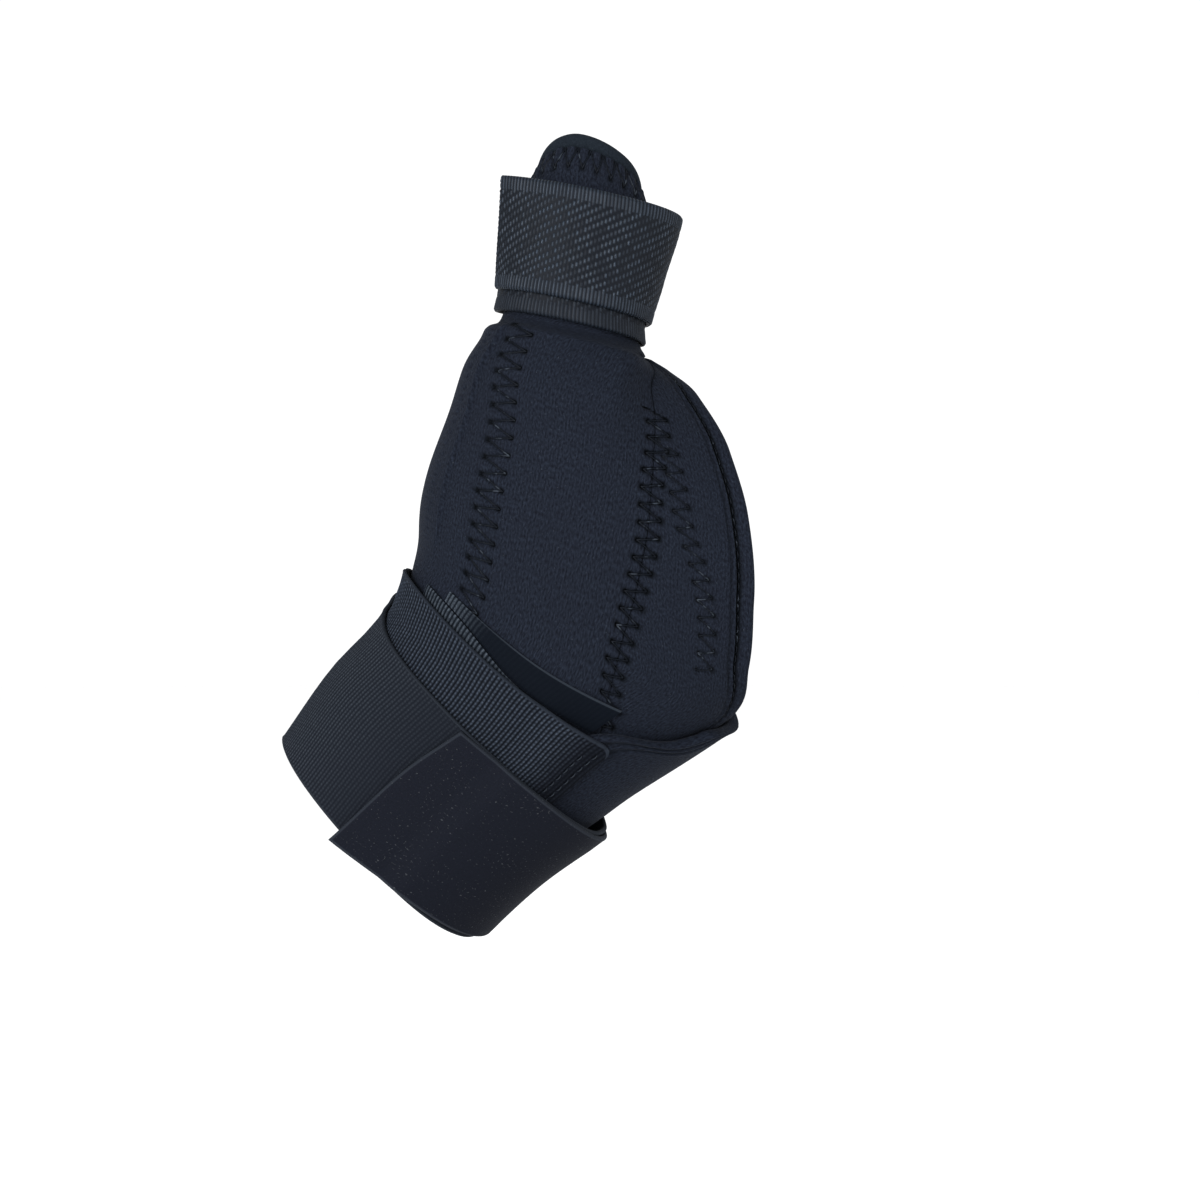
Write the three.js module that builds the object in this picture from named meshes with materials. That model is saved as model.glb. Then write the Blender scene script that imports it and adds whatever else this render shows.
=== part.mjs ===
// A worn thumb spica splint for a left hand: +Z is thumb up, -Y the palm side, +X the finger side.
// Neoprene panels form one sleeve from the wrist to the thumb, open on the finger side for the
// hand. A woven tape winds round the thumb and a ribbed elastic strap with a hook tab winds twice
// round the wrist. The origin is the middle of the wrist hollow.
import * as THREE from "three";
import { mergeVertices } from "three/addons/utils/BufferGeometryUtils.js";

// Driving dimensions in millimetres
const sleeveLength = 168; // forearm edge to thumb end, in height, at the middle of the hollow
const wristBreadth = 50; // hollow at the forearm edge
const wristDepth = 40;
const palmBreadth = 87; // hollow at its broadest, across the heel of the hand
const palmDepth = 44;
const thumbBreadth = 25; // hollow of the panels at the thumb strap's upper edge
const thumbDepth = 23;
const panelWall = 2.5; // fabric-faced neoprene
const layerGap = 0.3; // between pieces that lie on each other
const hemWidth = 4.3; // turned and stitched free edges
const hemRaise = 0.5;
const pocketRaise = 0.8; // stay pocket along the radial side
const sleeveWall = 1.8; // inner layer at the thumb end
const sleeveInset = 24; // how far the inner layer reaches down inside the panels
const borderDrop = 3.4; // panels end this much below the inner layer's rim
const rimTongue = 12; // how much higher the thumb end is in front than behind
const strapWidth = 41; // wrist elastic and its hook tab
const elasticWall = 1.1;
const tabWall = 1.3;
const loopWall = 0.6; // loop tapes that show above the elastic
const loopReach = 6.8; // how far the upper loop tape shows past the elastic's edge
const loopStep = 3.2; // where the lower loop tape ends and the upper one begins
const loopTuck = 4; // how far the lower loop tape runs under the elastic
const thumbStrapWidth = 26.5;
const thumbStrapWall = 1.2;
const thumbStrapRise = 4.4; // the outer turn lies this much higher than the inner turn
const thumbStrapFlare = 4.8; // the outer turn's upper edge stands off the thumb on its right side
const thumbStrapFlap = 3.6; // and at its free end on the left

const degree = Math.PI / 180;

// Rows of plain values with named columns
function table(columns, ...rows) {
  return rows.map((row) => Object.fromEntries(columns.map((name, i) => [name, row[i]])));
}

// The smooth value of every column of a table, at a place along its key column
function readTable(rows, key, at) {
  const last = rows.length - 1;
  let i = 0;
  while (i < last - 1 && at > rows[i + 1][key]) i += 1;
  const span = rows[i + 1][key] - rows[i][key];
  const t = (at - rows[i][key]) / span;
  const slope = (j, column) => {
    const before = rows[Math.max(j - 1, 0)];
    const after = rows[Math.min(j + 1, last)];
    return ((after[column] - before[column]) / (after[key] - before[key])) * span;
  };
  const value = (column) =>
    rows[i][column] * (1 - t) ** 2 * (1 + 2 * t) +
    rows[i + 1][column] * t ** 2 * (3 - 2 * t) +
    slope(i, column) * t * (1 - t) ** 2 -
    slope(i + 1, column) * t ** 2 * (1 - t);
  return Object.fromEntries(Object.keys(rows[0]).map((column) => [column, value(column)]));
}

const smooth = (from, to, at) => THREE.MathUtils.smoothstep(at, from, to);
const mix = THREE.MathUtils.lerp;

// The hollow, a row for each section from the forearm edge up: the sizes that it follows, its
// centre as shares of sleeveLength, its tilt in degrees, its half breadth as a share of the
// breadth, how much further it reaches on the finger side, where it opens and lies flat on the
// hand, then its palm side, its back, its shift to the back and its lean as shares of the depth
const wrist = { breadth: wristBreadth, depth: wristDepth };
const palm = { breadth: palmBreadth, depth: palmDepth };
const thumb = { breadth: thumbBreadth, depth: thumbDepth };
const sections = table(
  ["of", "x", "z", "tilt", "half", "reach", "palm", "back", "shift", "lean"],
  [wrist, -0.083, -0.081, 45, 0.52, 1, 0.5, 0.5, 0, 0.08],
  [wrist, -0.006, 0.006, 45, 0.565, 1, 0.525, 0.525, 0, 0.08],
  [wrist, 0.075, 0.078, 45, 0.605, 1, 0.54, 0.54, 0, 0.08],
  [wrist, 0.126, 0.142, 44.5, 0.706, 0.97, 0.575, 0.525, 0, 0.08],
  [palm, 0.194, 0.212, 34, 0.484, 0.964, 0.545, 0.455, -0.02, 0.05],
  [palm, 0.232, 0.333, 23, 0.478, 1.4, 0.57, 0.44, -0.06, 0.02],
  [palm, 0.242, 0.426, 20, 0.432, 1.538, 0.57, 0.41, -0.09, 0],
  [palm, 0.242, 0.504, 18.5, 0.384, 1.39, 0.5, 0.37, -0.125, 0],
  [palm, 0.224, 0.564, 15.5, 0.295, 1.212, 0.41, 0.33, -0.15, 0],
  [palm, 0.199, 0.597, 13.5, 0.222, 1.05, 0.355, 0.32, -0.16, 0],
  [thumb, 0.188, 0.623, 12.5, 0.565, 1, 0.6, 0.58, -0.33, 0],
  [thumb, 0.199, 0.713, 12, 0.515, 1, 0.55, 0.54, -0.37, 0],
  [thumb, 0.211, 0.795, 12, 0.5, 1, 0.5, 0.5, -0.41, 0],
  [thumb, 0.217, 0.884, 12, 0.45, 1, 0.46, 0.46, -0.43, 0],
).map(({ of, ...row }, station) => ({
  station,
  x: row.x * sleeveLength,
  z: row.z * sleeveLength,
  tilt: row.tilt * degree,
  half: row.half * of.breadth,
  fingerHalf: row.half * row.reach * of.breadth,
  palm: row.palm * of.depth,
  back: row.back * of.depth,
  shift: row.shift * of.depth,
  lean: row.lean * of.depth,
}));
const webStation = 10; // where the thumb leaves the hand
const thumbEnd = sections.length - 1;

// Edges of the panels, in degrees round the sleeve from the radial edge over the palm side: the
// thumb panel's right seam, the palm panel's free edge, the start of the dorsal panel (its wing,
// then its free edge), and how deep the palm panel is tucked behind the thumb, of palmDepth
const edges = table(
  ["station", "seam", "palmEdge", "backEdge", "tuck"],
  [0, 134, 160, 116, 0],
  [2, 133, 160, 116, 0],
  [3, 130, 161, 119, 0.01],
  [3.35, 122, 163, 126, 0.01],
  [3.6, 115.5, 166, 144, 0.01],
  [3.8, 111, 168, 153, 0.01],
  [3.9, 109.3, 169, 157.5, 0.011],
  [4.05, 107, 168, 185, 0.012],
  [4.2, 105, 160, 210, 0.013],
  [4.5, 102.5, 141.5, 227, 0.015],
  [5, 100, 128, 234, 0.018],
  [6, 99.8, 123.5, 237, 0.045],
  [7, 103, 126, 232, 0.11],
  [8, 113, 137, 221, 0.17],
  [9, 139, 161, 206, 0.18],
  [9.5, 153, 167, 203, 0.12],
  [10, 204, 172, 204, 0.03],
  [11, 214, 180, 214, 0],
  [13, 216, 180, 216, 0],
);
const radialSeam = 336; // where the thumb panel meets the dorsal panel behind the radial edge
const palmTop = 9.5; // station of the palm panel's tip in the web of the thumb
const seamTuckTurn = 14; // the thumb panel rolls in over this last stretch before the seam
const tuckEnds = { from: 165, to: 195 }; // and the palm panel comes out again over this stretch
const fullness = 0.035; // sections are this much fuller than an ellipse between their axes

// The wing lies on the palm panel: it climbs to the outer layer as it comes round the ulnar edge
const wingLift = panelWall + 1.5 * layerGap;
const wingClimb = { from: 208, to: 180 };
const wingOnTop = (turn) => 1 - smooth(wingClimb.to, wingClimb.from, turn);

// A point on the sleeve, at a station, a turn in degrees and a lift out of the hollow
function onSleeve(station, turn, lift, tucked = 0) {
  const ring = readTable(sections, "station", station);
  const aside = -Math.cos(turn * degree);
  const forward = Math.sin(turn * degree);
  const full = 1 + fullness * Math.sin(2 * turn * degree) ** 2;
  const across = aside * ((aside > 0 ? ring.fingerHalf : ring.half) + lift) * full;
  const out = forward * ((forward > 0 ? ring.palm : ring.back) + lift) * full;
  const up = -ring.lean * forward;
  return new THREE.Vector3(
    ring.x + across * Math.cos(ring.tilt) + up * Math.sin(ring.tilt),
    ring.shift - out + tucked,
    ring.z - across * Math.sin(ring.tilt) + up * Math.cos(ring.tilt),
  );
}

// How far a point is pushed in towards the hand beside the thumb, where the web folds
function tuckAt(station, turn) {
  const { seam, tuck } = readTable(edges, "station", station);
  const inFold = smooth(seam - seamTuckTurn, seam, turn) * (1 - smooth(tuckEnds.from, tuckEnds.to, turn));
  return tuck * palmDepth * inFold;
}

// A length along the sleeve's girth as a turn in degrees, at a place
function asTurn(station, turn, length) {
  const step = 0.5;
  const here = onSleeve(station, turn, panelWall);
  return (length * step) / here.distanceTo(onSleeve(station, turn + step, panelWall));
}

// The middle line's length at each section, and the station at a length from the wrist's middle
const middleLine = sections.reduce((lengths, row, i) => {
  const step = i === 0 ? 0 : Math.hypot(row.x - sections[i - 1].x, row.z - sections[i - 1].z);
  return [...lengths, { station: i, length: (lengths[i - 1]?.length ?? 0) + step }];
}, []);
const wristStart = middleLine[1].length;
const stationAt = (length) => readTable(middleLine, "length", length + wristStart).station;
const webLength = middleLine[webStation].length - wristStart;

// A closed sheet: a box with one layer, whose breadth, height and thickness follow a place rule
function sheet(across, along, place) {
  const box = new THREE.BoxGeometry(1, 1, 1, across, along, 1);
  return placed(box, (x, y, z) => place(x + 0.5, y + 0.5, z + 0.5));
}

// A closed ring of cloth: a square profile turned full circle, whose parts follow a place rule
function ringSheet(around, along, place) {
  const wall = Array.from({ length: along + 1 }, (_, i) => i / along);
  const outside = wall.map((height) => new THREE.Vector2(2, height));
  const inside = wall.map((height) => new THREE.Vector2(1, 1 - height));
  const turned = new THREE.LatheGeometry([...outside, ...inside, outside[0]], around);
  return placed(turned, (x, y, z) => {
    const angle = Math.atan2(x, z) / (2 * Math.PI);
    return place(angle < 0 ? angle + 1 : angle, y, Math.hypot(x, z) - 1);
  });
}

function placed(geometry, place) {
  geometry.deleteAttribute("normal");
  geometry.deleteAttribute("uv");
  const merged = mergeVertices(geometry);
  const at = merged.attributes.position;
  for (let i = 0; i < at.count; i += 1) {
    const point = place(at.getX(i), at.getY(i), at.getZ(i));
    at.setXYZ(i, point.x, point.y, point.z);
  }
  merged.computeVertexNormals();
  return merged;
}

const group = new THREE.Group();

function addPiece(name, geometry, color, roughness) {
  const material = new THREE.MeshStandardMaterial({ color, roughness, metalness: 0 });
  const mesh = new THREE.Mesh(geometry, material);
  mesh.name = name;
  group.add(mesh);
}

// The thumb end is cut to a tongue: highest on the palm side, low beside and behind the thumb,
// and fuller on its finger side
const tongueTurn = 78;
const tongueFullness = 0.3;
function rimDrop(turn) {
  const off = THREE.MathUtils.euclideanModulo(turn - tongueTurn + 180, 360) - 180;
  const near = off > 0 ? 1 - tongueFullness * (1 - (off / 180) ** 4) : 1;
  const high = (0.5 + 0.5 * Math.cos(off * near * degree)) ** 2;
  return rimTongue * (1 - high);
}
const endLength = middleLine[thumbEnd].length - wristStart;
const borderStation = (turn) => stationAt(endLength - borderDrop - rimDrop(turn));

// Rows of the panels stand at every half section; above the thumb's middle they close up to
// follow the cut end
const cutFrom = 11;
function panelStation(row, turn) {
  if (row <= cutFrom) return row;
  return mix(cutFrom, borderStation(turn), (row - cutFrom) / (thumbEnd - cutFrom));
}

// The hem, a row for each line along it: how far in it lies, of hemWidth, how much it is raised,
// of hemRaise, and how far the wall is pinched to round its edge
const hem = table(
  ["inset", "raise", "pinch"],
  [0, 0, 0.3],
  [0.16, 0.7, 0.06],
  [0.5, 1, 0],
  [0.86, 0.7, 0],
  [1.02, -0.6, 0],
  [1.25, 0, 0],
);

// Where a column lies between a free edge, hemmed, and a seam: its turn, raise and pinch. Where
// the panel is narrow, each hem column keeps within this share of its breadth
const hemShare = 0.16;
function hemmedColumn(column, columns, station, edgeTurn, seamTurn) {
  const inward = Math.sign(seamTurn - edgeTurn);
  const row = hem[Math.min(column, hem.length - 1)];
  const depth = asTurn(station, edgeTurn, row.inset * hemWidth);
  const room = Math.abs(seamTurn - edgeTurn) * hemShare * column;
  const hemTurn = edgeTurn + inward * Math.min(depth, room);
  if (column < hem.length - 1) return { turn: hemTurn, ...row };
  const rest = (column - hem.length + 1) / (columns - hem.length + 1);
  return { turn: mix(hemTurn, seamTurn, rest), raise: 0, pinch: 0 };
}

const halfGap = 0.2; // each panel stops this much short of a seam
const fabricColor = "#2b323c";

// Thumb panel: from behind the radial edge over the ball of the thumb to the right seam, with the
// stay pocket raised along the radial side: it rises slowly from the back to its crest, and ends
// in a ridge on the palm side
const pocket = { from: -4, crest: 12, ridge: 26, to: 32, low: 3.4, high: 9.4 };
function pocketLift(station, turn) {
  const lower = smooth(pocket.low, pocket.low + 1, station);
  const upper = 1 - smooth(pocket.high - 1, pocket.high, station);
  const back = smooth(pocket.from, pocket.crest, turn);
  const front = 1 - smooth(pocket.ridge, pocket.to, turn);
  return pocketRaise * lower * upper * back * front;
}
const thumbColumns = 26;
const thumbGeometry = sheet(thumbColumns, 2 * thumbEnd, (a, l, w) => {
  const row = l * thumbEnd;
  const start = radialSeam - 360;
  const { seam } = readTable(edges, "station", row);
  const first = start + asTurn(row, start, halfGap);
  const last = seam - asTurn(row, seam, halfGap);
  const turn = mix(first, last, a);
  const station = panelStation(row, turn);
  return onSleeve(station, turn, w * (panelWall + pocketLift(station, turn)), tuckAt(row, turn));
});
addPiece("thumb_panel", thumbGeometry, fabricColor, 0.95);

// Palm panel: from the right seam to the hemmed free edge, its lower corner under the wing, where
// the hem flattens
const palmColumns = 11;
const hemStarts = { from: 3.6, to: 4.4 };
const palmGeometry = sheet(palmColumns, 2 * palmTop, (a, l, w) => {
  const station = l * palmTop;
  const { seam, palmEdge } = readTable(edges, "station", station);
  const first = seam + asTurn(station, seam, halfGap);
  const column = Math.round((1 - a) * palmColumns);
  const { turn, raise, pinch } = hemmedColumn(column, palmColumns, station, palmEdge, first);
  const raised = raise * hemRaise * smooth(hemStarts.from, hemStarts.to, station);
  const lift = mix(pinch * panelWall, (1 - pinch) * panelWall + raised, w);
  return onSleeve(station, turn, lift, tuckAt(station, turn));
});
addPiece("palm_panel", palmGeometry, fabricColor, 0.95);

// Dorsal panel: from its hemmed free edge, or the wing's end on the palm side, over the back of
// the hand to the seam behind the radial edge. Its rows stand closer along the wing's end, and
// closest at its tip
const dorsalColumns = 22;
const wingRows = { from: 3, to: 5 };
const wingTip = { from: 3.75, to: 4.25 };
function rowsBetween(from, to, step) {
  return Array.from({ length: (to - from) / step }, (_, i) => from + i * step);
}
const dorsalRows = [
  ...rowsBetween(0, wingRows.from, 0.5),
  ...rowsBetween(wingRows.from, wingTip.from, 0.25),
  ...rowsBetween(wingTip.from, wingTip.to, 0.125),
  ...rowsBetween(wingTip.to, wingRows.to, 0.25),
  ...rowsBetween(wingRows.to, thumbEnd, 0.5),
  thumbEnd,
];
const dorsalGeometry = sheet(dorsalColumns, dorsalRows.length - 1, (a, l, w) => {
  const row = dorsalRows[Math.round(l * (dorsalRows.length - 1))];
  const { backEdge, seam } = readTable(edges, "station", row);
  const free = row < webStation;
  const start = free ? backEdge : seam + asTurn(row, seam, halfGap);
  const last = radialSeam - asTurn(row, radialSeam, halfGap);
  const column = Math.round(a * dorsalColumns);
  const { turn, raise, pinch } = hemmedColumn(column, dorsalColumns, row, start, last);
  const hemmed = mix(pinch * panelWall, (1 - pinch) * panelWall + raise * hemRaise, w);
  const lift = wingLift * wingOnTop(turn) + (free ? hemmed : w * panelWall);
  return onSleeve(panelStation(row, turn), turn, lift);
});
addPiece("dorsal_panel", dorsalGeometry, fabricColor, 0.95);

// Inner layer at the thumb end, a short tube inside the panels
const sleeveGeometry = ringSheet(28, 6, (a, l, w) => {
  const turn = 360 * a;
  const station = mix(stationAt(endLength - sleeveInset), stationAt(endLength - rimDrop(turn)), l);
  return onSleeve(station, turn, (w - 1) * sleeveWall - layerGap);
});
addPiece("thumb_sleeve", sleeveGeometry, "#232930", 1);

// What the straps lie on at the wrist, as a lift out of the hollow: panels, wing and loop tapes,
// each with the turns between which the straps climb on to it and come down again
const wingClimbs = { from: 98, to: 112 };
const tapesClimb = { from: 6, to: 18 };
const tapesDrop = { from: 122, to: 134 };
function underStraps(turn) {
  const side = THREE.MathUtils.euclideanModulo(turn, 360);
  const onWing = smooth(wingClimbs.from, wingClimbs.to, side) * wingOnTop(side);
  const onTapes = smooth(tapesClimb.from, tapesClimb.to, side);
  const pastTapes = smooth(tapesDrop.from, tapesDrop.to, side);
  const wing = (wingLift + hemRaise) * onWing;
  const tapes = (loopWall + layerGap) * onTapes * (1 - pastTapes);
  return panelWall + Math.max(wing, tapes);
}

// The wrist strap's edges, a row for each place along its winding in degrees from its sewn end:
// heights along the wrist from the middle of its hollow, as shares of strapWidth
const strapStart = 129; // turn of the sewn end, on the wing
const tabSlant = 8; // degrees that the tab's upper corner stays behind its lower one
const windingStep = 10; // divides a full turn, so that the turns lie evenly on each other
const tabFrom = 610;
const tabTo = 771;
const windings = table(
  ["wound", "low", "high"],
  [0, -0.137, 0.863],
  [44, -0.232, 0.763],
  [104, -0.28, 0.72],
  [134, -0.302, 0.698],
  [224, -0.415, 0.585],
  [314, -0.51, 0.44],
  [360, -0.537, 0.422],
  [410, -0.51, 0.398],
  [458, -0.49, 0.417],
  [494, -0.48, 0.546],
  [560, -0.52, 0.5],
  [610, -0.49, 0.44],
  [670, -0.47, 0.422],
  [712, -0.5, 0.42],
  [742, -0.53, 0.405],
  [771, -0.585, 0.366],
);

function strapPiece(from, to, wall, slant = 0) {
  const firstStep = Math.floor(from / windingStep);
  const lastStep = Math.ceil(to / windingStep);
  return sheet(lastStep - firstStep, 4, (a, l, w) => {
    const step = mix(lastStep, firstStep, a);
    const wound = THREE.MathUtils.clamp(step * windingStep, from, to - slant * l);
    const { low, high } = readTable(windings, "wound", wound);
    const turn = strapStart - wound;
    const spiral = (wound / 360) * (elasticWall + layerGap);
    const lift = underStraps(turn) + layerGap + spiral + w * wall;
    return onSleeve(stationAt(mix(low, high, l) * strapWidth), turn, lift);
  });
}
const tabGap = 1; // degrees between the elastic's end and the tab
addPiece("wrist_strap", strapPiece(0, tabFrom - tabGap, elasticWall), "#30363f", 0.85);
addPiece("hook_tab", strapPiece(tabFrom, tabTo, tabWall, tabSlant), "#1f242c", 0.7);

// Loop tapes sewn round the palm side under the elastic's first turn, a row for each place along
// them: how far past the elastic's upper edge their own upper edge shows, as a share of its reach
const tapeEdges = table(
  ["turn", "lower", "upper"],
  [34, 1, 0.97],
  [62, 0.9, 0.95],
  [90, 0.1, 0.95],
  [122, 0, 1],
);
function tapePiece(from, to, low, high) {
  return sheet(12, 1, (a, l, w) => {
    const turn = mix(from, to, a);
    const edge = readTable(windings, "wound", strapStart - turn).high * strapWidth;
    const share = readTable(tapeEdges, "turn", turn);
    const length = edge + mix(low(share), high(share), l);
    return onSleeve(stationAt(length), turn, panelWall + layerGap + w * loopWall);
  });
}
const tuckedEdge = () => -loopTuck;
const lowerTapeTop = (share) => share.lower * loopStep - layerGap / 2;
const upperTapeFoot = (share) => share.lower * loopStep + layerGap / 2;
const upperTapeTop = (share) => share.upper * loopReach;
const lowerTape = tapePiece(40, 92, tuckedEdge, lowerTapeTop);
const upperTape = tapePiece(52, 121, upperTapeFoot, upperTapeTop);
addPiece("loop_tape_lower", lowerTape, "#39424d", 0.6);
addPiece("loop_tape_upper", upperTape, "#343c46", 0.7);

// Thumb strap: from its free end on the left over the palm side, once round the thumb, and on
// under itself to its sewn end. The free end leaves the thumb and stays flat, and the upper edge
// stands off behind the right side
const thumbStrapFrom = 22;
const thumbStrapTo = 572;
const flapFrom = 56;
const outerEnds = { from: 205, to: 385 }; // where the outer turn comes down to the inner one
const flareOut = { from: 105, to: 175 };
const flareIn = { from: 185, to: 290 };
const thumbStrapGeometry = sheet(52, 4, (a, l, w) => {
  const turn = mix(thumbStrapFrom, thumbStrapTo, a);
  const outer = 1 - smooth(outerEnds.from, outerEnds.to, turn);
  const spiral = ((thumbStrapTo - turn) / 360) * (thumbStrapWall + layerGap);
  const flaring = smooth(flareOut.from, flareOut.to, turn) * (1 - smooth(flareIn.from, flareIn.to, turn));
  const flare = thumbStrapFlare * l * outer * flaring;
  const straight = Math.max(0, (flapFrom - turn) / (flapFrom - thumbStrapFrom)) ** 1.5;
  const flap = thumbStrapFlap * straight * mix(0.1, 1, l);
  const station = stationAt(webLength + layerGap + outer * thumbStrapRise + l * thumbStrapWidth);
  const lift = panelWall + layerGap + spiral + flare + flap;
  return onSleeve(station, turn, lift + w * thumbStrapWall);
});
addPiece("thumb_strap", thumbStrapGeometry, "#333c46", 0.6);

export default group;
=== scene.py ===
import math

import bpy
import numpy as np
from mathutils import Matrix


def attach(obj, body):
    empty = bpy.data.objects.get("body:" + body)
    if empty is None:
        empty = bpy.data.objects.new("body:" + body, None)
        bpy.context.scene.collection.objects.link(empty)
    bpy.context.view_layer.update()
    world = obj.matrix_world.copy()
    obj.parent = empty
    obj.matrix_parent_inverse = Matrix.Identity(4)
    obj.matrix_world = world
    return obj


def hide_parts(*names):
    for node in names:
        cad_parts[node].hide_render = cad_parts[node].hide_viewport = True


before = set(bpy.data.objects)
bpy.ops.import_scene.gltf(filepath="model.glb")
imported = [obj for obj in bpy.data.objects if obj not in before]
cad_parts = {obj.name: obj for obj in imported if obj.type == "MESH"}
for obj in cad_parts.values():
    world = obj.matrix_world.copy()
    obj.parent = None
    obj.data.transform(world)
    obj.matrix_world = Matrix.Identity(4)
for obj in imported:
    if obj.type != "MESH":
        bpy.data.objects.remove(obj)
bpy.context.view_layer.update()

# Inner layer at the thumb end: a short tube of thin plain neoprene. It is cut to a tongue that
# stands highest on the palm side, its rim is turned over, and the outer panels are sewn to it.

# The hollow that all the cloth lies round, with a row for each section from the forearm edge up:
# the breadth and depth that it follows, its centre as shares of the sleeve's length, its tilt,
# its half breadth, how much further it reaches on the finger side, its palm side, its back, its
# shift to the back and its lean. All lengths here are in millimetres.
sleeve_length = 168
wrist, palm, thumb = (50, 40), (87, 44), (25, 23)
section_rows = [
    (wrist, -0.083, -0.081, 45, 0.52, 1, 0.5, 0.5, 0, 0.08),
    (wrist, -0.006, 0.006, 45, 0.565, 1, 0.525, 0.525, 0, 0.08),
    (wrist, 0.075, 0.078, 45, 0.605, 1, 0.54, 0.54, 0, 0.08),
    (wrist, 0.126, 0.142, 44.5, 0.706, 0.97, 0.575, 0.525, 0, 0.08),
    (palm, 0.194, 0.212, 34, 0.484, 0.964, 0.545, 0.455, -0.02, 0.05),
    (palm, 0.232, 0.333, 23, 0.478, 1.4, 0.57, 0.44, -0.06, 0.02),
    (palm, 0.242, 0.426, 20, 0.432, 1.538, 0.57, 0.41, -0.09, 0),
    (palm, 0.242, 0.504, 18.5, 0.384, 1.39, 0.5, 0.37, -0.125, 0),
    (palm, 0.224, 0.564, 15.5, 0.295, 1.212, 0.41, 0.33, -0.15, 0),
    (palm, 0.199, 0.597, 13.5, 0.222, 1.05, 0.355, 0.32, -0.16, 0),
    (thumb, 0.188, 0.623, 12.5, 0.565, 1, 0.6, 0.58, -0.33, 0),
    (thumb, 0.199, 0.713, 12, 0.515, 1, 0.55, 0.54, -0.37, 0),
    (thumb, 0.211, 0.795, 12, 0.5, 1, 0.5, 0.5, -0.41, 0),
    (thumb, 0.217, 0.884, 12, 0.45, 1, 0.46, 0.46, -0.43, 0),
]
sections = np.array([
    (number, x * sleeve_length, z * sleeve_length, math.radians(tilt), half * breadth,
     half * reach * breadth, front * depth, back * depth, shift * depth, lean * depth)
    for number, ((breadth, depth), x, z, tilt, half, reach, front, back, shift, lean)
    in enumerate(section_rows)
])
fullness = 0.035  # sections are this much fuller than an ellipse between their axes
thumb_end = len(sections) - 1
web = 10  # the section where the thumb leaves the hand


def read(rows, column, at):
    """A table's smooth value in a column, at places along its first column"""
    rows = np.asarray(rows, float)
    key, value = rows[:, 0], rows[:, column]
    at = np.asarray(at, float)
    last = len(key) - 1
    row = np.clip(np.searchsorted(key, at) - 1, 0, last - 1)
    before = np.maximum(np.arange(last + 1) - 1, 0)
    after = np.minimum(np.arange(last + 1) + 1, last)
    slope = (value[after] - value[before]) / (key[after] - key[before])
    span = key[row + 1] - key[row]
    t = (at - key[row]) / span
    return (value[row] * (1 - t) ** 2 * (1 + 2 * t) + value[row + 1] * t**2 * (3 - 2 * t)
            + slope[row] * span * t * (1 - t) ** 2 - slope[row + 1] * span * t**2 * (1 - t))


def smooth(start, end, at):
    """0 before start and 1 after end, with a smooth step between"""
    t = np.clip((at - start) / (end - start), 0, 1)
    return t * t * (3 - 2 * t)


def mix(first, second, share):
    return first + (second - first) * share


def bell(off, spread):
    """1 where off is 0, and fading on both sides"""
    return np.exp(-(off**2) / spread)


def ripple(length, pitch):
    """Ridges from 0 to 1, a pitch apart"""
    return 0.5 + 0.5 * np.cos(math.tau * length / pitch)


def on_sleeve(station, turn, lift, tucked=0):
    """Points at a station along the hollow, a turn in degrees from the radial edge over the palm
    side, and a lift out of the hollow"""
    x, z, tilt, half, finger_half, front, back, shift, lean = (
        read(sections, column, station) for column in range(1, 10))
    angle = np.radians(turn)
    aside, forward = -np.cos(angle), np.sin(angle)
    full = 1 + fullness * np.sin(2 * angle) ** 2
    across = aside * (np.where(aside > 0, finger_half, half) + lift) * full
    out = forward * (np.where(forward > 0, front, back) + lift) * full
    up = -lean * forward
    return np.stack([
        x + across * np.cos(tilt) + up * np.sin(tilt),
        shift - out + tucked,
        z - across * np.sin(tilt) + up * np.cos(tilt),
    ], axis=-1)


def run_of(points):
    """The length run at each of a row of points"""
    steps = np.linalg.norm(np.diff(points, axis=0), axis=-1)
    return np.concatenate([np.zeros((1, *steps.shape[1:])), np.cumsum(steps, axis=0)])


numbers = sections[:, 0]
middle_run = run_of(sections[:, 1:3])
wrist_start = middle_run[1]
middle_line = np.column_stack([middle_run, numbers])
end_length = middle_run[thumb_end] - wrist_start
web_length = middle_run[web] - wrist_start


def station_at(length):
    """The station at a length along the middle line from the middle of the wrist"""
    return read(middle_line, 1, length + wrist_start)


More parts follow.
